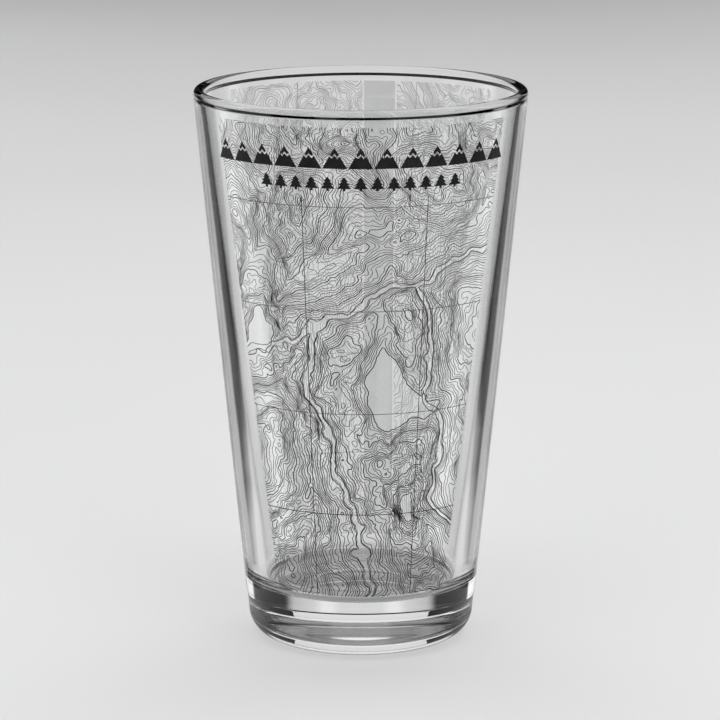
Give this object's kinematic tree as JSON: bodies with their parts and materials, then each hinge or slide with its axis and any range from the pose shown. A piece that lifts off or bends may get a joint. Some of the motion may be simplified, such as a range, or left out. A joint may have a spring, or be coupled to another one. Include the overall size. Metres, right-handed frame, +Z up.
{
  "type": "pint glass",
  "caption": "Tapered conical drinking glass with a thick base, a rounded lip and a printed contour-map decoration on the front and back of its outside wall.",
  "frame": {"origin": "centre of the ring that the glass stands on, at table height", "axes": "+Z up along the glass's axis through its mouth, -Y towards the front of the decoration, +X to the right seen from the front"},
  "size_m": [0.0888, 0.0888, 0.1492],
  "materials": {
    "clear_glass": "gloss",
    "grey_tint": "satin",
    "black_enamel": "gloss"
  },
  "bodies": {
    "root": {"glass_body": "clear_glass", "band_back": "grey_tint", "contours_front": "black_enamel", "contours_back": "black_enamel", "grid_front": "black_enamel", "grid_back": "black_enamel", "title_peaks": "black_enamel", "title_pines": "black_enamel"}
  },
  "joints": []
}
